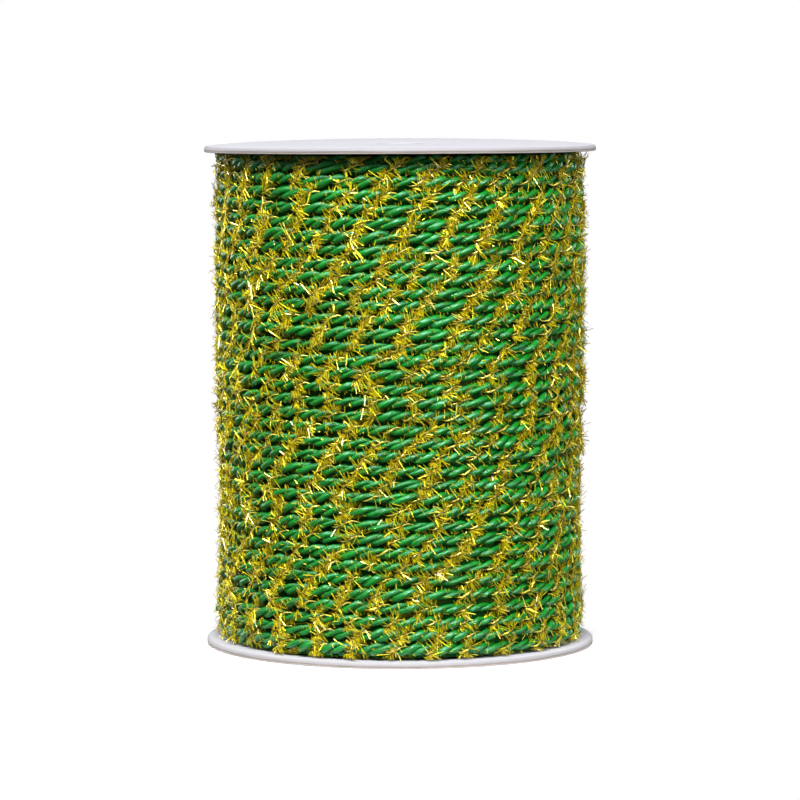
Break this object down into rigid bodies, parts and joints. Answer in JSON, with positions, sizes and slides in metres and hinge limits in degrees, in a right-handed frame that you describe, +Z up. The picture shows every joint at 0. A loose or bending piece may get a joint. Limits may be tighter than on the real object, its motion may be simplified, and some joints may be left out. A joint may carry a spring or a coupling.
{
  "type": "spool of metallic cord",
  "caption": "Upright spool with thin round card discs at both ends and a cylinder of twisted green and gold cord wound between them.",
  "frame": {"origin": "centre of the bottom disc's lower face, on the surface that the spool stands on", "axes": "+Z up along the spool's axis; the spool is round, so +X and +Y are free"},
  "size_m": [0.064, 0.064, 0.0824],
  "materials": {
    "disc_card": "satin",
    "cord_green": "satin",
    "cord_gold": "gloss"
  },
  "bodies": {
    "root": {"disc_bottom": "disc_card", "cord_winding": "cord_green", "disc_top": "disc_card"}
  },
  "joints": []
}
